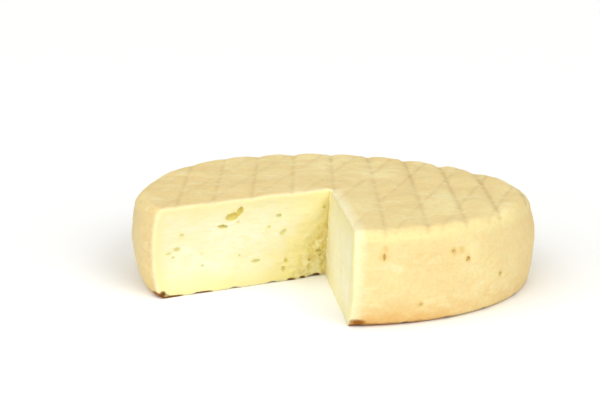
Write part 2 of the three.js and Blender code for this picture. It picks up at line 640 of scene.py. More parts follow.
@dataclass
class UncutWheel:
    """The whole wheel as the mould, its own weight and the rack shaped it."""

    radius: float
    height: float
    # How finely the half section is divided, turned and then meshed, and how near points are that become one.
    turn_steps: int = 180
    corner_steps: int = 8
    wall_cuts: int = 9
    weld: float = 0.01 * MM
    grain: float = 1.05 * MM
    swell: float = 1.8 * MM
    wave: float = 0.4 * MM
    wave_lobes: int = 3
    wave_start: float = math.radians(10)
    wave_lean: float = 4.0
    wave_slack: float = 1 * MM
    foot_roll: float = 3.0 * MM
    tucks: tuple[Tuck, ...] = (Tuck(185, 15, 7 * MM), Tuck(272, 20, 2 * MM))
    dome: float = 0.9 * MM
    lean: float = 0.5 * MM
    lean_towards: float = math.radians(300)
    shoulder_reach: float = 6.0 * MM
    shoulder_drop: float = 5.2 * MM
    shoulder_trim: float = 0.9 * MM
    slumps: tuple[Slump, ...] = (
        Slump(45, 50, 20 * MM, 8.4 * MM),
        Slump(172, 26, 8.5 * MM, 5 * MM),
        Slump(300, 36, 5 * MM, 1.5 * MM),
    )
    rack: DryingRack = DryingRack()
    top_marks: tuple[RackMark, ...] = (
        RackMark(0.0, 0.0, 1.15 * MM),
        RackMark(math.radians(-16.3), 9 * MM, 0.7 * MM),
    )
    base_mark: RackMark = RackMark(0.0, 8.4 * MM, 0.8 * MM)
    press_towards: float = math.radians(30)
    press_range: tuple[float, float] = (-0.6, 0.3)
    least_press: float = 0.3
    crease_roll: float = 0.7 * MM
    # The rim that slumped at the back hung over the rack, whose wires bit into it.
    bitten: Stretch = Stretch(42, 40)
    bite_depth: float = 1.1 * MM
    bite_width: float = 3.2 * MM
    # How far in from the wall, and how far up it, the bites start and are full.
    bite_reach: tuple[float, float] = (30 * MM, 12 * MM)
    bite_rise: tuple[float, float] = (20 * MM, 28 * MM)
    # The rack under the wheel marked only what lies lower than this.
    base_rise: float = 1 * MM
    # Size and height of the lumps that ripening raised, from broad swellings to fine wrinkles.
    lumps: tuple[tuple[float, float], ...] = (
        (24 * MM, 0.8 * MM),
        (7 * MM, 0.45 * MM),
        (2.6 * MM, 0.18 * MM),
    )
    # The lumps are full from this height up.
    lump_rise: float = 4 * MM
    # How far below the top the marks of the wires fade out, the wall takes over and the side starts.
    mark_below: tuple[float, float] = (3 * MM, 1.5 * MM)
    wall_below: tuple[float, float] = (1 * MM, 6 * MM)
    side_below: tuple[float, float] = (2 * MM, 8 * MM)
    # The marks are plainest towards the side that was pressed most.
    least_mark: float = 0.45
    mark_range: tuple[float, float] = (0.0, 0.8)
    # A highlight is painted along one stretch of the shoulder, a lighter band where the rounded shoulder
    # catches the light. Brine left a tide line below it.
    painted_shoulder_highlight: Stretch = Stretch(296, 40)
    shoulder_highlight_below: float = 3.2 * MM
    shoulder_highlight_width: float = 2.8 * MM
    tide: Stretch = Stretch(290, 30)
    tide_below: float = 7.4 * MM
    tide_width: float = 1.0 * MM
    # One side lay against a board, which left it a little grey. The far side is tinted a little more tan.
    greyed: Stretch = Stretch(184, 20)
    far_side_tan: Stretch = Stretch(340, 24)
    # Brine stood longest under one stretch of the foot, whose sole is darker: partly dried brown and partly
    # painted contact shade.
    soaked: Stretch = Stretch(276, 28)
    least_soak: float = 0.3
    scorched_and_shaded: Stretch = Stretch(271, 19)
    least_scorch_and_shade: float = 0.55
    # How far in from the wall, and how high, the foot and what marks it are felt.
    foot_reach: tuple[float, float] = (12 * MM, 4 * MM)
    foot_rise: tuple[float, float] = (13 * MM, 0.0)
    sole_rise: tuple[float, float] = (2.6 * MM, 0.8 * MM)
    nick_shade_rise: tuple[float, float] = (2.4 * MM, 1.0 * MM)
    underside_rise: tuple[float, float] = (1.2 * MM, 0.4 * MM)
    # Small eyes broke through the side as pits, and brine dried in spots beside two of them.
    pits: tuple[Hole, ...] = (
        Hole(282, 29, 1.2, 3.2, 6, 0.5),
        Hole(302, 28.5, 2.6, 1.5, 0, 0.4),
        Hole(306.5, 24.5, 2.2, 1.8, 0, 0.5),
        Hole(319.5, 14.5, 1.8, 1.5, 0, 0.6),
        Hole(292, 8.5, 1.8, 1.3, 0, 0.5),
        Hole(20, 22, 2.6, 1.8, 0, 0.6),
        Hole(95, 15, 2.2, 1.6, 0, 0.6),
        Hole(152, 24, 2.6, 2.0, 0, 0.6),
    )
    spots: tuple[Hole, ...] = (Hole(304.6, 28.6, 2.4, 1.2), Hole(282.4, 32, 1.2, 2.0))
    # Brine stained the rind round a pit or a spot, this many times as far as it is wide.
    stain_spread: float = 1.1

    @property
    def crest(self) -> float:
        """Height of the turned blank, before the rack trims its top."""
        return self.height + self.shoulder_trim

    @property
    def wall(self) -> float:
        """Radius of the wall where it meets the shoulder and the foot."""
        return self.radius - self.swell

    def build(self) -> bpy.types.Object:
        """Makes the wheel from its half section.

        Returns:
            The uncut wheel, evenly meshed.
        """
        wheel = self.turn()
        apply_modifier(wheel, "REMESH", mode="VOXEL", voxel_size=self.grain)
        self.ripple(wheel)
        self.slump(wheel)
        self.tuck(wheel)
        self.press(wheel)
        self.age(wheel)
        return wheel

    def turn(self) -> bpy.types.Object:
        """Turns the half section round the axis.

        Returns:
            The round blank.
        """
        bpy.ops.mesh.primitive_plane_add(
            size=1,
            location=(self.wall / 2, 0, self.crest / 2),
            rotation=(math.pi / 2, 0, 0),
        )
        bpy.context.active_object.scale = (self.wall, self.crest, 1)
        blank = newest("wheel")
        with editing(blank):
            self.round_corner(blank, 0.0, self.foot_roll)
            self.round_corner(blank, self.crest, self.shoulder_reach)
            self.swell_wall(blank)
            bpy.ops.mesh.select_mode(type="FACE")
            bpy.ops.mesh.select_all(action="SELECT")
            bpy.ops.mesh.delete(type="ONLY_FACE")
            pick(blank, Part.EDGE, lambda edge: all(v.co.x < self.weld for v in edge.verts))
            bpy.ops.mesh.delete(type="EDGE")
            bpy.ops.mesh.select_all(action="SELECT")
            bpy.ops.mesh.spin(
                steps=self.turn_steps, angle=2 * math.pi, center=(0, 0, 0), axis=(0, 0, 1)
            )
            bpy.ops.mesh.select_all(action="SELECT")
            bpy.ops.mesh.remove_doubles(threshold=self.weld)
            bpy.ops.mesh.normals_make_consistent(inside=False)
        return blank

    def round_corner(self, blank: bpy.types.Object, level: float, roll: float) -> None:
        """Rounds one outer corner of the half section.

        Args:
            blank: The half section, in edit mode.
            level: The corner's height.
            roll: The radius of the rounding.
        """
        slack = 0.1 * MM
        pick(blank, Part.VERTEX, lambda v: v.co.x > self.wall - slack and abs(v.co.z - level) < slack)
        bpy.ops.mesh.bevel(offset=roll, segments=self.corner_steps, affect="VERTICES", profile=0.5)

    def swell_wall(self, blank: bpy.types.Object) -> None:
        """Swells the straight wall of the half section outwards, most half way up.

        Args:
            blank: The half section, in edit mode.
        """
        slack = self.weld
        low = self.foot_roll
        high = self.crest - self.shoulder_reach
        pick(blank, Part.EDGE, lambda edge: all(v.co.x > self.wall - slack for v in edge.verts))
        bpy.ops.mesh.subdivide(number_cuts=self.wall_cuts)
        mesh = bmesh.from_edit_mesh(blank.data)
        levels = sorted(v.co.z for v in mesh.verts if v.co.x > self.wall - slack)
        for level in levels:
            share = (level - low) / (high - low)
            out = self.swell * 4 * share * (1 - share) + self.wave * math.sin(math.pi * share)
            pick(blank, Part.VERTEX, lambda v: v.co.x > self.wall - slack and abs(v.co.z - level) < slack)
            bpy.ops.transform.translate(value=(out, 0, 0))

    def ripple(self, wheel: bpy.types.Object) -> None:
        """Takes the hollows between the wall's shallow waves out of it.

        Args:
            wheel: The round blank.
        """
        x, y, z = places(wheel).T
        share = np.clip((z - self.foot_roll) / (self.crest - self.shoulder_drop - self.foot_roll), 0, 1)
        lobes = self.wave_start + self.wave_lobes * np.arctan2(y, x) + self.wave_lean * (share - 0.5)
        shaded_hollows = (1 - np.sin(lobes)) * np.sin(math.pi * share)
        on_wall = np.hypot(x, y) > self.wall - self.wave_slack
        push(wheel, self.wave * shaded_hollows * on_wall, Way.OUTWARDS)

    def top_of(self, out: np.ndarray, reach: np.ndarray, drop: np.ndarray) -> np.ndarray:
        """Gives the height of a blank's top at a distance from the axis, for a shoulder of given size.

        Args:
            out: Distances from the axis.
            reach: How far in from the wall the shoulder starts.
            drop: How far the shoulder falls.

        Returns:
            Heights above the table.
        """
        fall = np.clip((out - self.wall + reach) / reach, 0, 1)
        return self.crest - drop * (1 - np.sqrt(1 - fall * fall))

    def slump(self, wheel: bpy.types.Object) -> None:
        """Lets the rim sink where it has slumped.

        Args:
            wheel: The round blank.
        """
        x, y, z = places(wheel).T
        out = np.hypot(x, y)
        reach = np.full_like(out, self.shoulder_reach)
        drop = np.full_like(out, self.shoulder_drop)
        fresh = self.top_of(out, reach, drop)
        for slump in self.slumps:
            reach += slump.reach * slump.share(x, y)
            drop += slump.drop * slump.share(x, y)
        sunk = self.top_of(out, reach, drop)
        push(wheel, z * (1 - sunk / fresh), Way.UP)

    def foot_of(self, out: np.ndarray, roll: np.ndarray) -> np.ndarray:
        """Gives the height of the wheel's underside at a distance from the axis, for a foot of given radius.

        Args:
            out: Distances from the axis.
            roll: The foot's radius.

        Returns:
            Heights above the table.
        """
        rise = np.clip((out - self.wall + roll) / roll, 0, 1)
        return roll * (1 - np.sqrt(1 - rise * rise))

    def tuck(self, wheel: bpy.types.Object) -> None:
        """Rolls the foot under further where it is tucked in.

        Args:
            wheel: The slumped blank.
        """
        x, y, z = places(wheel).T
        out = np.hypot(x, y)
        roll = np.full_like(out, self.foot_roll)
        plain = self.foot_of(out, roll)
        for tuck in self.tucks:
            roll += tuck.roll * tuck.share(x, y)
        lifted = self.foot_of(out, roll)
        push(wheel, (self.crest - z) * (lifted - plain) / (self.crest - plain), Way.UP, inwards=False)

    def towards(self, x: np.ndarray, y: np.ndarray, direction: float) -> np.ndarray:
        """Says how far places lie towards a direction, as a share of the wheel's radius."""
        return (x * math.cos(direction) + y * math.sin(direction)) / self.radius

    def press_at(self, x: np.ndarray, y: np.ndarray) -> np.ndarray:
        """Says how much of the rack's full press was felt at each place on the top.

        Args:
            x: Places across the wheel.
            y: Places along the wires.

        Returns:
            Shares from 0 to 1, least where the wheel hardly touched the rack.
        """
        pressed = ease(self.towards(x, y, self.press_towards), *self.press_range)
        return self.least_press + (1 - self.least_press) * pressed

    def pressed_top(self, x: np.ndarray, y: np.ndarray) -> np.ndarray:
        """Gives the height of the leaning, domed top with the rack's marks in it.

        Args:
            x: Places across the wheel.
            y: Places along the wires.

        Returns:
            Heights above the table.
        """
        dome = self.dome * (np.hypot(x, y) / self.radius) ** 2
        lean = self.lean * self.towards(x, y, self.lean_towards)
        marks = np.max([self.rack.furrows(x, y, mark) for mark in self.top_marks], axis=0)
        return self.height - dome + lean - self.press_at(x, y) * marks

    def press(self, wheel: bpy.types.Object) -> None:
        """Presses the rack's wires into the top, the rim and the base.

        Args:
            wheel: The slumped wheel.
        """
        x, y, z = places(wheel).T
        top = self.pressed_top(x, y)
        push(wheel, np.maximum(z - blend_lower(z, top, self.crease_roll), 0), Way.UP)
        x, y, z = places(wheel).T
        away = self.rack.offsets(x, y, self.top_marks[0]) / self.bite_width
        on_rim = ease(self.wall - np.hypot(x, y), *self.bite_reach) * ease(z, *self.bite_rise)
        bites = self.bite_depth / (1 + away * away)
        push(wheel, bites * on_rim * self.bitten.share(x, y), Way.OUTWARDS)
        x, y, z = places(wheel).T
        base = self.rack.furrows(x, y, self.base_mark)
        push(wheel, np.where(z < self.base_rise, np.maximum(base - z, 0), 0), Way.UP, inwards=False)

    def age(self, wheel: bpy.types.Object) -> None:
        """Gives the rind the lumps and wrinkles of ripening, but keeps the base flat.

        Args:
            wheel: The pressed wheel.
        """
        for size, depth in self.lumps:
            roughen(wheel, size, depth, ease(places(wheel)[:, 2], 0, self.lump_rise))

    def pit_place(self, pit: Hole, skin: BVHTree) -> tuple[Vector, Vector]:
        """Finds a pit's place on the side.

        Args:
            pit: The pit.
            skin: The skin of the uncut wheel.

        Returns:
            The place, and the level direction along the side there.
        """
        around = math.radians(pit.along)
        away = Vector((math.cos(around), math.sin(around), 0))
        axis = Vector((0, 0, pit.up * MM))
        return skin.ray_cast(axis + away * 2 * self.radius, -away)[0], Vector((0, 0, 1)).cross(away)

    def pit_bubbles(self, skin: BVHTree) -> bpy.types.Object:
        """Models the pits in the side, where small eyes broke through.

        Args:
            skin: The skin of the uncut wheel.

        Returns:
            All their bubbles in one piece.
        """
        return joined([pit.bubble(*self.pit_place(pit, skin)) for pit in self.pits])

    def note_skin(self, cheese: bpy.types.Object, skin: BVHTree) -> None:
        """Notes on the rind all that its finish reads.

        Args:
            cheese: The cut cheese.
            skin: The skin of the uncut wheel.
        """
        x, y, z = places(cheese).T
        below = self.pressed_top(x, y) - z
        self.note_marks(cheese, below)
        self.note_brine(cheese, below)
        self.note_stains(cheese, skin)
        self.note_foot(cheese)

    def note_marks(self, cheese: bpy.types.Object, below: np.ndarray) -> None:
        """Notes where the rack's wires marked the top, and how strongly shade is painted along them.

        Args:
            cheese: The cut cheese.
            below: How far below the pressed top each vertex is.
        """
        x, y, _ = places(cheese).T
        plain = ease(self.towards(x, y, self.press_towards), *self.mark_range)
        near_top = ease(below, *self.mark_below) * (self.least_mark + (1 - self.least_mark) * plain)
        # How strongly the wires' dark lines, partly painted furrow shade, show.
        for name, mark in zip(("wire", "second_wire"), self.top_marks):
            away = self.rack.offsets(x, y, mark)
            note(cheese, name, away / MM)
            note(cheese, name + "_mark", near_top / (1 + (away / self.rack.mark_width) ** 2))
        note(cheese, "unpressed", 1 - self.press_at(x, y))

    def note_brine(self, cheese: bpy.types.Object, below: np.ndarray) -> None:
        """Notes the painted shoulder highlight, where brine ran, and where the side is greyed or tinted.

        Args:
            cheese: The cut cheese.
            below: How far below the pressed top each vertex is.
        """
        x, y, _ = places(cheese).T
        # A highlight is painted along the shoulder, where it is rounded and catches the light.
        note(cheese, "painted_shoulder_highlight", bell(below, self.shoulder_highlight_below, self.shoulder_highlight_width) * self.painted_shoulder_highlight.share(x, y))
        note(cheese, "tide", bell(below, self.tide_below, self.tide_width) * self.tide.share(x, y))
        note(cheese, "wall", ease(below, *self.wall_below))
        side = ease(below, *self.side_below)
        note(cheese, "greyed", side * self.greyed.share(x, y))
        note(cheese, "far_side_tan", side * self.far_side_tan.share(x, y))

    def note_stains(self, cheese: bpy.types.Object, skin: BVHTree) -> None:
        """Notes where brine stained the rind round the pits.

        Args:
            cheese: The cut cheese.
            skin: The skin of the uncut wheel.
        """
        where = places(cheese)
        stain = np.zeros(len(where))
        for pit in self.pits + self.spots:
            place, _ = self.pit_place(pit, skin)
            away = np.linalg.norm(where - np.array(place), axis=1)
            reach = self.stain_spread * math.sqrt(pit.wide * pit.tall) * MM
            stain = np.maximum(stain, bell(away, 0, reach))
        note(cheese, "pit_stain", stain)

    def note_foot(self, cheese: bpy.types.Object) -> None:
        """Notes where the foot rolls under, its sole of brown rind and painted contact shade, and the shade
        painted in its nicks.

        Args:
            cheese: The cut cheese.
        """
        x, y, z = places(cheese).T
        rolled = ease(self.wall - np.hypot(x, y), *self.foot_reach)
        soaked = self.least_soak + (1 - self.least_soak) * self.soaked.share(x, y)
        note(cheese, "foot", ease(z, *self.foot_rise) * rolled * soaked)
        # The sole's darkening is partly brown rind and partly painted contact shade.
        scorched_and_shaded = self.least_scorch_and_shade + (1 - self.least_scorch_and_shade) * self.scorched_and_shaded.share(x, y)
        note(cheese, "sole_brown_and_shade", ease(z, *self.sole_rise) * rolled * scorched_and_shaded)
        # Shade is painted into the nicks that the rack's wires left in the foot.
        nick_shading = self.rack.furrows(x, y, self.base_mark) / self.base_mark.depth
        note(cheese, "nick_shade", nick_shading * rolled * ease(z, *self.nick_shade_rise))
        note(cheese, "underside", ease(z, *self.underside_rise) * (1 - rolled))


@dataclass
class KnifeCut:
    """The wedge that the knife took out, and the eyes that it opened."""

    tip: Vector = field(default_factory=lambda: Vector((-3.2 * MM, -6.8 * MM, 0)))
    lean: float = math.radians(2.9)
    length: float = 104 * MM
    margin: float = 4 * MM
    cells: int = 110
    # An upright face's normal rises less than this, and the outer face lies past this share of the length.
    upright: float = 0.5
    outer_share: float = 0.9
    sag: float = 1.2 * MM
    sag_height: float = 16 * MM
    sag_start: tuple[float, float] = (2 * MM, 20 * MM)
    # What is nearer to a cut face than this belongs to it.
    face_slack: float = 3 * MM
    tip_slack: float = 2 * MM
    # Size, height and flatness of the lumps of torn curd, all over the cut and where it crumbled.
    tears: tuple[tuple[float, float, float], ...] = (
        (9 * MM, 0.6 * MM, 0.6),
        (3.2 * MM, 0.35 * MM, 0.4),
        (1.3 * MM, 0.14 * MM, 0.7),
    )
    crumbs: tuple[tuple[float, float, float], ...] = ((4.0 * MM, 1.4 * MM, 0.6), (1.6 * MM, 0.6 * MM, 0.9))
    # The knife crumbled a corner of the left face: how far it reaches along the table and up the tip.
    crumbled_length: float = 29 * MM
    crumbled_height: float = 37 * MM
    crumbled_fade: tuple[float, float] = (-9 * MM, 12 * MM)
    # The golden tint over that corner is partly whey stain and partly painted shadow where the corner is
    # shaded.
    stain_and_shade_fade: tuple[float, float] = (-20 * MM, 14 * MM)
    # Eyes of the left face. Whey turned the walls of some of them golden; all their walls also carry painted
    # shade.
    wet_eyes: tuple[Hole, ...] = (
        Hole(48.0, 32.0, 6.2, 3.2, 8),
        Hole(44.2, 34.1, 2.6, 4.0, -24),
        Hole(45.3, 32.5, 2.4, 1.8, 20),
        Hole(22.0, 5.6, 1.9, 2.1, 0, 0.6),
        Hole(20.7, 9.5, 1.6, 2.1, 0, 0.6),
        Hole(4.3, 11.5, 3.0, 1.6, -8, 0.7),
        Hole(3.6, 9.7, 1.7, 1.3, 0, 0.5),
        Hole(8.8, 8.1, 1.7, 1.2, 0, 0.6),
        Hole(2.4, 31.3, 1.5, 1.3, 0, 0.5),
    )
    dry_eyes: tuple[Hole, ...] = (
        Hole(52.2, 28.0, 5.0, 1.7, -6),
        Hole(25.2, 30.0, 2.6, 1.7, 0, 0.8),
        Hole(29.9, 25.4, 2.2, 1.3, 0, 0.6),
        Hole(22.7, 22.2, 3.6, 1.9, 30, 0.7),
        Hole(73.5, 20.5, 2.8, 1.9, 0, 0.9),
        Hole(77.2, 19.0, 2.2, 1.4, 10, 0.8),
        Hole(71.5, 26.4, 2.0, 1.2, 0, 0.7),
        Hole(35.6, 10.9, 4.0, 1.5, 2, 0.9),
        Hole(45.0, 29.3, 1.5, 1.1, 0, 0.4),
        Hole(74.9, 17.2, 1.4, 0.9, 0, 0.6),
        Hole(61.7, 17.3, 1.2, 0.8, 0, 0.5),
        Hole(43.8, 14.3, 1.2, 0.8, 0, 0.5),
        Hole(61.3, 12.1, 1.3, 0.8, 0, 0.5),
    )
    # Whey seeps this far into the curd round an eye, and fades over these shares of the eye's size.
    seep: float = 0.3 * MM
    seep_fade: tuple[float, float] = (1.3, 0.8)
    seep_reach: float = 4 * MM

    def run(self, face: CutFace) -> Vector:
        """Gives the direction in which a cut face runs out from the tip."""
        return Vector((math.cos(face.value), math.sin(face.value), 0))

    def on_face(self, face: CutFace, along: float, up: float) -> Vector:
        """Gives a place on a cut face.

        Args:
            face: The cut face.
            along: Distance out from the tip.
            up: Height above the table.

        Returns:
            The place.
        """
        return self.tip + self.run(face) * along + Vector((math.tan(self.lean), 0, 1)) * up

    def measure(self, cheese: np.ndarray, face: CutFace) -> tuple[np.ndarray, np.ndarray]:
        """Measures where places are from a cut face.

        Args:
            cheese: Places, one row each.
            face: The cut face.

        Returns:
            How far out along the face each place is, and how far from it.
        """
        x = cheese[:, 0] - self.tip.x - math.tan(self.lean) * cheese[:, 2]
        y = cheese[:, 1] - self.tip.y
        run = self.run(face)
        return x * run.x + y * run.y, np.abs(x * run.y - y * run.x)

    def nearness(self, cheese: np.ndarray, face: CutFace, reach: float) -> np.ndarray:
        """Says how near places are to a cut face.

        Args:
            cheese: Places, one row each.
            face: The cut face.
            reach: The distance at which the nearness is 0.

        Returns:
            Shares from 0 to 1, 1 on the cut face.
        """
        along, away = self.measure(cheese, face)
        return np.clip(1 - away / reach, 0, 1) * (along > 0)

    def crumbled(self, cheese: np.ndarray, fade: tuple[float, float]) -> np.ndarray:
        """Says how far the corner of the left face that crumbled under the knife is felt at each place.

        Args:
            cheese: Places, one row each.
            fade: How far inside the corner's edge it starts to be felt, and is felt in full.

        Returns:
            Shares from 0 to 1.
        """
        along, away = self.measure(cheese, CutFace.LEFT)
        edge = self.crumbled_length * (1 - cheese[:, 2] / self.crumbled_height)
        return ease(edge - along, *fade) * (away < self.face_slack) * (along > -self.tip_slack)

    def seeped(self, cheese: np.ndarray) -> np.ndarray:
        """Says how much whey seeped into the curd of the left face from its eyes.

        Args:
            cheese: Places, one row each.

        Returns:
            Shares from 0 to 1.
        """
        along, away = self.measure(cheese, CutFace.LEFT)
        most = np.zeros_like(along)
        for eye in self.wet_eyes + self.dry_eyes:
            out = along - eye.along * MM
            up = cheese[:, 2] - eye.up * MM
            dip = math.radians(eye.tilt)
            long_way = (out * math.cos(dip) - up * math.sin(dip)) / (eye.wide / 2 * MM + self.seep)
            short_way = (out * math.sin(dip) + up * math.cos(dip)) / (eye.tall / 2 * MM + self.seep)
            most = np.maximum(most, ease(np.hypot(long_way, short_way), *self.seep_fade))
        return most * (away < self.seep_reach)

    def wedge(self, height: float) -> bpy.types.Object:
        """Models the wedge: a triangle on the table, drawn up along the leaning blade.

        Args:
            height: The wheel's height.

        Returns:
            The wedge, finely meshed on its two cut faces and rough as torn curd.
        """
        corners = [
            self.on_face(CutFace.LEFT, 0, -self.margin),
            self.on_face(CutFace.LEFT, self.length, -self.margin),
            self.on_face(CutFace.RIGHT, self.length, -self.margin),
        ]
        rise = height + 2 * self.margin
        bpy.ops.mesh.primitive_circle_add(vertices=3, radius=self.length, fill_type="NGON")
        wedge = newest("wedge")
        starts = [vertex.co.copy() for vertex in wedge.data.vertices]
        with editing(wedge):
            for index, (start, corner) in enumerate(zip(starts, corners)):
                pick(wedge, Part.VERTEX, lambda v: v.index == index)
                bpy.ops.transform.translate(value=corner - start)
            bpy.ops.mesh.select_all(action="SELECT")
            bpy.ops.mesh.extrude_region_move(
                TRANSFORM_OT_translate={"value": (math.tan(self.lean) * rise, 0, rise)}
            )
            self.mesh_finely(wedge)
            bpy.ops.mesh.select_all(action="SELECT")
            bpy.ops.mesh.normals_make_consistent(inside=False)
        self.tear(wedge)
        return wedge

    def mesh_finely(self, wedge: bpy.types.Object) -> None:
        """Divides the wedge's two cut faces into small squares.

        Args:
            wedge: The wedge, in edit mode.
        """
        pick(wedge, Part.EDGE, lambda edge: self.is_level(edge) and any(map(self.is_at_tip, edge.verts)))
        bpy.ops.mesh.subdivide(number_cuts=1)
        pick(wedge, Part.FACE, lambda face: abs(face.normal.z) < self.upright and not self.is_outer(face))
        bpy.ops.mesh.subdivide(number_cuts=self.cells - 1)

    def is_level(self, edge: bmesh.types.BMEdge) -> bool:
        """Says whether an edge of the wedge lies level."""
        return abs(edge.verts[0].co.z - edge.verts[1].co.z) < MM

    def is_at_tip(self, corner: bmesh.types.BMVert) -> bool:
        """Says whether a corner of the wedge is on its upright edge."""
        return (corner.co.xy - self.tip.xy).length < self.margin

    def is_outer(self, face: bmesh.types.BMFace) -> bool:
        """Says whether a face of the wedge is the one across its wide end."""
        return all((v.co.xy - self.tip.xy).length > self.length * self.outer_share for v in face.verts)

    def tear(self, wedge: bpy.types.Object) -> None:
        """Roughens the cut faces, more so where the curd crumbled, and lets the left one sag at its foot.

        Args:
            wedge: The smooth wedge.
        """
        everywhere = np.ones(len(wedge.data.vertices))
        for size, depth, flatness in self.tears:
            roughen(wedge, size, depth, everywhere, flatness)
        crumbled = self.crumbled(places(wedge), self.crumbled_fade)
        for size, depth, flatness in self.crumbs:
            roughen(wedge, size, depth, crumbled, flatness)
        along, away = self.measure(places(wedge), CutFace.LEFT)
        low = ease(places(wedge)[:, 2], self.sag_height, 0)
        near = away < self.face_slack
        push(wedge, self.sag * low * ease(along, *self.sag_start) * near, Way.OUTWARDS)

    def eye_bubbles(self, eyes: tuple[Hole, ...], surface: BVHTree) -> list[bpy.types.Object]:
        """Models eyes of the left face.

        Args:
            eyes: The eyes.
            surface: The torn surface of the cut cheese.

        Returns:
            Their bubbles.
        """
        bubbles = []
        for eye in eyes:
            place = self.on_face(CutFace.LEFT, eye.along * MM, eye.up * MM)
            bubbles.append(eye.bubble(surface.find_nearest(place)[0], self.run(CutFace.LEFT)))
        return bubbles


@dataclass(frozen=True)
class Crust:
    """A patch of dark crust at the foot of a cut face, in millimetres.

    It has a distance from the tip, a spread, a height and a distance anticlockwise from the face.
    """

    face: CutFace
    along: float
    wide: float
    tall: float
    aside: float = 0.0


@dataclass(frozen=True)
class WashedRind:
    """Washed rind, rubbed with brine and dried: thin, matt and tan, mottled where the wash dried."""

    pale: str = "ECDBA0"
    tan: str = "E3CB8E"
    dried: str = "DFC284"
    peach: str = "E9D197"
    cream: str = "EDDFB2"
    bloom: str = "EFE4B6"
    wrinkled: str = "DFC280"
    painted_shoulder_highlight: str = "E8D799"
    greyed: str = "D2C08C"
    furrow_mark_and_shade: str = "B79C6A"
    orange: str = "DDB169"
    crusted: str = "C79E60"
    smeared: str = "F2E9BE"
    stained: str = "DDBB70"
    scorched_and_shaded: str = "B5782F"
    painted_nick_shade: str = "7E6A34"
    toasted_and_shaded: str = "9A600F"
    wash_size: float = 26 * MM
    blotch_size: float = 7.5 * MM
    wrinkle_size: float = 2.2 * MM
    # Real specks are about 0.3 mm; they are drawn coarser so that the picture can show them.
    speck_size: float = 1.0 * MM
    # The brine was wiped on round the wheel, so its patches and streaks are longer than they are high.
    streak_size: float = 16 * MM
    blotch_flatness: float = 2.0
    streak_flatness: float = 6.0
    # The dust makes the rind this much darker or lighter, over the range that the patterns mostly keep to.
    dust: tuple[float, float] = (0.955, 1.03)
    pattern_range: tuple[float, float] = (0.3, 0.7)
    # A wire's dark line, partly its mark and partly painted furrow shade, fades out and is full this far from
    # the wire, in millimetres.
    line_fade: tuple[float, float] = (2.1, 0.4)
    line_unevenness: float = 0.7
    gap_range: tuple[float, float] = (0.36, 0.56)
    least_line: float = 0.3
    cloud_roughness: float = 0.55
    speck_relief: float = 0.4
    sheen: Sheen = Sheen(
        roughness=0.62, shine=0.15, soak=0.2, soak_colour=(1.0, 0.6, 0.25), soak_depth=2 * MM
    )

    def material(self) -> bpy.types.Material:
        """Makes the rind's material.

        Returns:
            The material.
        """
        material, tree, shader = new_material("washed_rind_brined_and_dried")
        place = add_node(tree, "TexCoord").node.outputs["Object"]
        wash, blotch, wrinkle, speck, streak = (
            cloud(tree, place, size, self.cloud_roughness, flatness)
            for size, flatness in (
                (self.wash_size, 1.0),
                (self.blotch_size, self.blotch_flatness),
                (self.wrinkle_size, 1.0),
                (self.speck_size, 1.0),
                (self.streak_size, self.streak_flatness),
            )
        )
        colour = linear(self.tan)
        for pattern, start, end, tint, most in (
            (wash, 0.38, 0.62, self.pale, 1.0),
            (ragged(tree, "unpressed", blotch, 1.2), 0.6, 1.5, self.dried, 0.55),
            (blotch, 0.48, 0.66, self.peach, 0.8),
            (blotch, 0.46, 0.3, self.cream, 0.5),
            # Painted highlight along the rounded shoulder.
            (ragged(tree, "painted_shoulder_highlight", wash, 0.4), 0.3, 1.1, self.painted_shoulder_highlight, 1.0),
            (ragged(tree, "wall", streak, 1.0), 1.5, 1.66, self.peach, 0.8),
            (wrinkle, 0.5, 0.7, self.bloom, 0.15),
            (wrinkle, 0.5, 0.3, self.wrinkled, 0.17),
            (ragged(tree, "tide", streak, 0.5), 0.4, 1.1, self.peach, 0.9),
            (ragged(tree, "greyed", wash, 0.6), 0.5, 1.3, self.greyed, 0.8),
            (ragged(tree, "far_side_tan", wash, 0.6), 0.4, 1.3, self.dried, 0.5),
            (ragged(tree, "pit_stain", wrinkle, 0.6), 0.5, 1.2, self.stained, 0.7),
            (ragged(tree, "foot", blotch, 0.9), 0.5, 1.45, self.orange, 0.95),
            (ragged(tree, "smear", wrinkle, 0.3), 0.25, 1.05, self.smeared, 0.9),
            (ragged(tree, "underside", blotch, 1.2), 1.3, 1.75, self.crusted, 0.6),
            # Partly brown rind, partly painted contact shade along the sole.
            (ragged(tree, "sole_brown_and_shade", blotch, 0.9), 0.9, 1.4, self.scorched_and_shaded, 0.9),
            # Painted shade in the rack's nicks at the foot.
            (ragged(tree, "nick_shade", wrinkle, 0.3), 0.75, 1.0, self.painted_nick_shade, 0.65),
            # Crust, with painted contact shade along the cut face's foot.
            (ragged(tree, "crust_and_contact_shade", wrinkle, 0.5), 0.62, 1.0, self.toasted_and_shaded, 1.0),
        ):
            colour = lay_tint(tree, colour, pattern, start, end, tint, most)
        # The wires' lines are partly their marks and partly shade painted into the furrows.
        for wire, most in (("wire", 0.6), ("second_wire", 0.35)):
            line = self.broken_line(tree, wire, wrinkle, blotch)
            colour = lay_tint(tree, colour, line, 0, 1, self.furrow_mark_and_shade, most)
        dusting = spread(tree, speck, self.pattern_range, self.dust)
        colour = add_node(tree, "VectorMath", {0: colour, "Scale": dusting}, operation="SCALE")
        tree.links.new(colour, shader.inputs["Base Color"])
        self.sheen.raise_relief(tree, shader, add_share(tree, wrinkle, speck, self.speck_relief))
        self.sheen.put_on(shader)
        return material

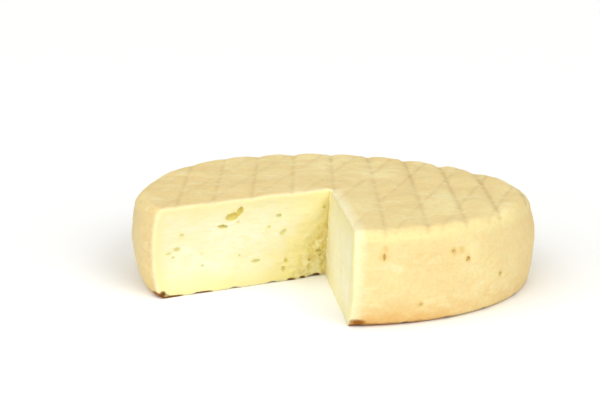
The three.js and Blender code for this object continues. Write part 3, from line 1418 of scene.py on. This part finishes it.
    def broken_line(
        self,
        tree: bpy.types.NodeTree,
        wire: str,
        wrinkle: bpy.types.NodeSocket,
        blotch: bpy.types.NodeSocket,
    ) -> bpy.types.NodeSocket:
        """Draws the wires' dark lines, partly their marks and partly painted furrow shade, thin and broken.

        Args:
            tree: The material's nodes.
            wire: The name of the noted offset from the nearest wire, in millimetres.
            wrinkle: A fine pattern, which makes the line uneven.
            blotch: A coarser pattern, which breaks it.

        Returns:
            A number from 0 to 1.
        """
        away = add_node(tree, "Math", {0: read_note(tree, wire)}, operation="ABSOLUTE")
        line = spread(tree, add_share(tree, away, wrinkle, self.line_unevenness), self.line_fade)
        whole = spread(tree, blotch, self.gap_range, (self.least_line, 1.0))
        broken = add_node(tree, "Math", {0: line, 1: whole}, operation="MULTIPLY")
        return add_node(tree, "Math", {0: broken, 1: read_note(tree, wire + "_mark")}, operation="MULTIPLY")


@dataclass(frozen=True)
class CutPaste:
    """Pressed curd parted by a knife: pale and close, a little moist, golden where it crumbled, partly stain
    and partly painted shadow.
    """

    cream: str = "EAE6C8"
    shade: str = "E8DEAF"
    butter: str = "E6DB9D"
    seeped: str = "E0D890"
    rind: str = "E9DDA6"
    golden_stain_and_shade: str = "F3E59B"
    whey_and_painted_shade: str = "D9BE66"
    crumb: str = "FAF3C6"
    toasted_and_shaded: str = "6C440A"
    curd_size: float = 9 * MM
    layer_size: float = 7 * MM
    layer_flatness: float = 5.0
    crumb_size: float = 2.8 * MM
    grain_size: float = 1.6 * MM
    cloud_roughness: float = 0.6
    # How uneven the layer under the skin is, in millimetres, and how ragged the golden stain and the crust,
    # with their painted shade, are.
    skin_unevenness: float = 2.0
    stain_and_shade_unevenness: float = 0.5
    crust_and_shade_unevenness: float = 0.5
    crumb_relief: float = 1.0
    sheen: Sheen = Sheen(
        roughness=0.48, shine=0.25, soak=0.3, soak_colour=(1.0, 0.7, 0.3), soak_depth=3 * MM
    )

    def material(self) -> bpy.types.Material:
        """Makes the paste's material.

        Returns:
            The material.
        """
        material, tree, shader = new_material("cut_paste_of_pressed_curd")
        place = add_node(tree, "TexCoord").node.outputs["Object"]
        curd, crumb, grain = (
            cloud(tree, place, size, self.cloud_roughness)
            for size in (self.curd_size, self.crumb_size, self.grain_size)
        )
        layers = cloud(tree, place, self.layer_size, flatness=self.layer_flatness)
        under_skin = ragged(tree, "skin_depth", curd, self.skin_unevenness)
        # Golden stain, partly painted shadow over the shaded corner and the face's foot.
        golden_stain_and_shade = ragged(tree, "stained", curd, self.stain_and_shade_unevenness)
        # Crust, with painted contact shade along the left face's foot.
        baked_and_shaded = ragged(tree, "crust_and_contact_shade", crumb, self.crust_and_shade_unevenness)
        crumbled = read_note(tree, "crumbled")
        crumbs = add_node(tree, "Math", {0: crumb, 1: crumbled}, operation="MULTIPLY")
        # Where the crumbs' relief is low; the whey tint there is partly painted shade.
        shaded_hollows = add_node(tree, "Math", {0: crumbled, 1: crumb}, operation="SUBTRACT")
        colour = linear(self.cream)
        for pattern, start, end, tint, most in (
            (curd, 0.35, 0.65, self.shade, 0.7),
            (layers, 0.5, 0.68, self.butter, 0.4),
            (under_skin, 11.0, 1.6, self.butter, 0.8),
            # Golden stain and painted shadow.
            (golden_stain_and_shade, 0.25, 1.25, self.golden_stain_and_shade, 1.0),
            (read_note(tree, "seeped"), 0.0, 1.0, self.seeped, 0.5),
            # Darker whey in the crumbs' hollows and lighter crumb tops: partly their colour, partly painted
            # shade and highlight following the relief.
            (shaded_hollows, 0.42, 0.66, self.whey_and_painted_shade, 0.5),
            (crumbs, 0.46, 0.64, self.crumb, 0.75),
            (under_skin, 1.9, 1.0, self.rind, 1.0),
            # Crust and painted contact shade.
            (baked_and_shaded, 0.68, 0.95, self.toasted_and_shaded, 1.0),
        ):
            colour = lay_tint(tree, colour, pattern, start, end, tint, most)
        tree.links.new(colour, shader.inputs["Base Color"])
        self.sheen.raise_relief(tree, shader, add_share(tree, grain, crumbs, self.crumb_relief))
        self.sheen.put_on(shader)
        return material


@dataclass(frozen=True)
class HoleWall:
    """The smooth wall of an eye or a pit: moist curd, yellower than the paste where whey or brine stood, and
    darker with painted shade.
    """

    name: str
    pale: str
    gold: str
    patch_size: float = 6 * MM
    patch_range: tuple[float, float] = (0.35, 0.65)
    sheen: Sheen = Sheen(
        roughness=0.35, shine=0.5, soak=0.3, soak_colour=(1.0, 0.7, 0.3), soak_depth=1 * MM
    )

    def material(self) -> bpy.types.Material:
        """Makes the hole wall's material.

        Returns:
            The material.
        """
        material, tree, shader = new_material(self.name)
        place = add_node(tree, "TexCoord").node.outputs["Object"]
        patch = cloud(tree, place, self.patch_size, detail=2.0)
        colour = lay_tint(tree, linear(self.pale), patch, *self.patch_range, self.gold)
        tree.links.new(colour, shader.inputs["Base Color"])
        self.sheen.put_on(shader)
        return material


@dataclass
class CutCheese:
    """The cheese as it is served: the wheel with a wedge gone."""

    wheel: UncutWheel
    cut: KnifeCut = field(default_factory=KnifeCut)
    edge_wear: float = 4.0 * MM
    edge_rounds: int = 130
    edge_softening: float = 0.5
    wear_rise: float = 4 * MM
    crease_angle: float = math.radians(40)
    smear_reaches: tuple[float, ...] = (3.2 * MM, 6.5 * MM)
    # The hole walls' colours are partly curd, whey and brine and partly painted shade inside the holes.
    dry_wall: HoleWall = HoleWall("eye_wall_of_closed_curd_and_shade", pale="E8E2B0", gold="DFD68E")
    wet_wall: HoleWall = HoleWall("eye_wall_wet_with_whey_and_shade", pale="E2D888", gold="DEC65A")
    pit_wall: HoleWall = HoleWall("pit_wall_stained_by_brine_and_shade", pale="DAC078", gold="CBAA58")
    # A golden tint, partly whey stain and partly painted shade, lies on the foot of the left face, as a share
    # of that on the crumbled corner.
    low_stain_and_shade: float = 0.45
    low_reach: float = 6 * MM
    # A thin dark line, partly crust and partly painted contact shade, runs along that foot. It and the patches
    # of crust are full low down.
    crust_and_shade_line: tuple[float, float] = (1.0 * MM, 0.2 * MM)
    line_strength: float = 0.5
    line_reach: float = 4 * MM
    line_range: tuple[float, float] = (0.0, 0.5)
    full_crust: float = 0.4
    crusts: tuple[Crust, ...] = (
        Crust(CutFace.LEFT, 82, 7.0, 3.6, -1.5),
        Crust(CutFace.LEFT, 79.4, 2.1, 5.2),
        Crust(CutFace.LEFT, 77, 9.0, 1.3),
        Crust(CutFace.LEFT, 61, 6.0, 1.2),
        Crust(CutFace.LEFT, 17.8, 3.0, 1.9),
        Crust(CutFace.LEFT, 12, 2.0, 1.7),
        Crust(CutFace.LEFT, 4.8, 2.4, 2.0),
        Crust(CutFace.RIGHT, 82, 4.7, 5.4, 3.2),
    )

    def build(self) -> bpy.types.Object:
        """Makes the wheel and cuts it.

        Returns:
            The finished piece, riding on its body in place of the plain solid.
        """
        cheese = self.wheel.build()
        cheese.data.materials.append(WashedRind().material())
        skin = self.surface_of(cheese)
        self.take_out(cheese, self.cut.wedge(self.wheel.height), CutPaste().material())
        self.wear_edges(cheese, skin)
        surface = self.surface_of(cheese)
        dry_bubbles = self.cut.eye_bubbles(self.cut.dry_eyes, surface)
        self.take_out(cheese, joined(dry_bubbles), self.dry_wall.material())
        wet = self.wet_wall.material()
        # Some of these run into one another, so they come out one by one.
        for bubble in self.cut.eye_bubbles(self.cut.wet_eyes, surface):
            self.take_out(cheese, bubble, wet)
        self.take_out(cheese, self.wheel.pit_bubbles(skin), self.pit_wall.material())
        self.wheel.note_skin(cheese, skin)
        self.note_paste(cheese, skin)
        pick_object(cheese)
        bpy.ops.object.shade_smooth_by_angle(angle=self.crease_angle)
        cheese.name = "cut_cheese"
        cheese.data.name = "cut_cheese"
        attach(cheese, BODY)
        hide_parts(NODE)
        return cheese

    def surface_of(self, cheese: bpy.types.Object) -> BVHTree:
        """Keeps the cheese's surface as it is now, to measure from later."""
        return BVHTree.FromObject(cheese, bpy.context.evaluated_depsgraph_get())

    def take_out(self, cheese: bpy.types.Object, tool: bpy.types.Object, finish: bpy.types.Material) -> None:
        """Cuts a solid out of the cheese and finishes the faces that it leaves.

        Args:
            cheese: The cheese.
            tool: The solid to take out, which is then removed.
            finish: The material of the new faces.
        """
        tool.data.materials.clear()
        tool.data.materials.append(finish)
        apply_modifier(
            cheese,
            "BOOLEAN",
            operation="DIFFERENCE",
            object=tool,
            solver="MANIFOLD",
            material_mode="TRANSFER",
        )
        bpy.data.objects.remove(tool)

    def wear_edges(self, cheese: bpy.types.Object, skin: BVHTree) -> None:
        """Rounds the soft edges between the cut faces and the rind.

        Args:
            cheese: The cut cheese.
            skin: The skin of the uncut wheel.
        """
        near_skin = np.clip(1 - self.depth_under(cheese, skin) / self.edge_wear, 0, 1)
        where = places(cheese)
        near_cut = np.max([self.cut.nearness(where, face, self.edge_wear) for face in CutFace], axis=0)
        off_table = ease(where[:, 2], 0, self.wear_rise)
        with painted(cheese, np.minimum(near_skin, near_cut) * off_table) as paint:
            apply_modifier(
                cheese,
                "SMOOTH",
                factor=self.edge_softening,
                iterations=self.edge_rounds,
                vertex_group=paint,
            )

    def depth_under(self, cheese: bpy.types.Object, skin: BVHTree) -> np.ndarray:
        """Measures how deep under the uncut skin each vertex lies.

        Args:
            cheese: The cut cheese.
            skin: The skin of the uncut wheel.

        Returns:
            Depths in metres.
        """
        return np.array([skin.find_nearest(place)[3] for place in places(cheese)])

    def note_paste(self, cheese: bpy.types.Object, skin: BVHTree) -> None:
        """Notes how deep the paste lies, where it crumbled, and where stain, crust and painted shade lie on
        it.

        Args:
            cheese: The cut cheese.
            skin: The skin of the uncut wheel.
        """
        where = places(cheese)
        note(cheese, "skin_depth", self.depth_under(cheese, skin) / MM)
        reaches = zip(CutFace, self.smear_reaches)
        smears = [self.cut.nearness(where, face, reach) for face, reach in reaches]
        note(cheese, "smear", np.max(smears, axis=0))
        note(cheese, "seeped", self.cut.seeped(where))
        note(cheese, "crumbled", self.cut.crumbled(where, self.cut.crumbled_fade))
        # The golden tint low on the left face is partly whey stain and partly painted shade.
        low = ease(where[:, 2], self.cut.sag_height, 0)
        low *= self.low_stain_and_shade * self.cut.nearness(where, CutFace.LEFT, self.low_reach)
        note(cheese, "stained", np.maximum(self.cut.crumbled(where, self.cut.stain_and_shade_fade), low))
        by_face = ease(self.cut.nearness(where, CutFace.LEFT, self.line_reach), *self.line_range)
        # The line along the left face's foot is partly crust and partly painted contact shade.
        crust_and_contact_shade = self.line_strength * ease(where[:, 2], *self.crust_and_shade_line) * by_face
        for patch in self.crusts:
            middle = self.cut.on_face(patch.face, patch.along * MM, 0)
            middle += Vector((0, 0, 1)).cross(self.cut.run(patch.face)) * patch.aside * MM
            away = np.hypot(where[:, 0] - middle.x, where[:, 1] - middle.y)
            tall = ease(where[:, 2] / MM, patch.tall, self.full_crust * patch.tall)
            crust_and_contact_shade = np.maximum(crust_and_contact_shade, bell(away, 0, patch.wide * MM) * tall)
        note(cheese, "crust_and_contact_shade", crust_and_contact_shade)


@dataclass(frozen=True)
class SoftLight:
    """A soft studio light: its direction seen from the cheese, its apparent width and its strength."""

    name: str
    turn: float
    rise: float
    width: float
    strength: float

    def hang(self) -> None:
        """Hangs the light so far off that it lights the whole floor evenly."""
        level = math.cos(self.rise)
        away = Vector((math.sin(self.turn) * level, -math.cos(self.turn) * level, math.sin(self.rise)))
        bpy.ops.object.light_add(type="SUN", location=away, rotation=away.to_track_quat("Z", "Y").to_euler())
        light = bpy.context.active_object
        light.name = self.name
        light.data.angle = self.width
        light.data.energy = self.strength * math.pi


@dataclass
class Studio:
    """A white table, three soft lights and the camera."""

    camera_place: Vector = field(default_factory=lambda: Vector((-14.5, -652.2, 176.8)) * MM)
    camera_dip: float = math.radians(12.46)
    lens_px: float = 1489.2
    picture_width_px: float = 600.0
    sensor: float = 36.0
    lights: tuple[SoftLight, ...] = (
        SoftLight("key_light", math.radians(40), math.radians(32), math.radians(38), 0.53),
        SoftLight("fill_light", math.radians(-50), math.radians(24), math.radians(80), 0.64),
        SoftLight("top_light", 0.0, math.radians(85), math.radians(90), 0.56),
    )
    room_light: float = 0.01
    floor_size: float = 12.0
    floor_tone: str = "F8F8F6"
    floor_roughness: float = 0.9

    def build(self) -> None:
        """Sets up the floor, the lights and the camera."""
        self.lay_floor()
        for light in self.lights:
            light.hang()
        world = bpy.data.worlds.new("white_room")
        world.use_nodes = True
        world.node_tree.nodes["Background"].inputs["Strength"].default_value = self.room_light
        world.node_tree.nodes["Background"].inputs["Color"].default_value = (1, 1, 1, 1)
        bpy.context.scene.world = world
        self.set_camera()
        bpy.context.scene.view_settings.view_transform = "Standard"

    def lay_floor(self) -> None:
        """Lays a plain white floor under the cheese."""
        bpy.ops.mesh.primitive_plane_add(size=self.floor_size)
        floor = newest("floor")
        material, _, shader = new_material("white_card")
        shader.inputs["Base Color"].default_value = linear(self.floor_tone)
        shader.inputs["Roughness"].default_value = self.floor_roughness
        floor.data.materials.append(material)

    def set_camera(self) -> None:
        """Places the camera that the picture was taken with."""
        bpy.ops.object.camera_add(
            location=self.camera_place,
            rotation=(math.pi / 2 - self.camera_dip, 0, 0),
        )
        camera = bpy.context.active_object
        camera.data.sensor_width = self.sensor
        camera.data.lens = self.lens_px / self.picture_width_px * self.sensor
        bpy.context.scene.camera = camera


def main() -> None:
    """Builds the cheese and the studio round it."""
    logging.basicConfig(level=logging.INFO, format="%(name)s: %(message)s")
    _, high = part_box(NODE)
    wheel = UncutWheel(radius=high.x - SIDE_ROOM, height=high.z - TOP_ROOM)
    cheese = CutCheese(wheel).build()
    LOG.info("%s has %d faces", cheese.name, len(cheese.data.polygons))
    Studio().build()
    LOG.info("the studio is set")


if __name__ == "__main__":
    main()
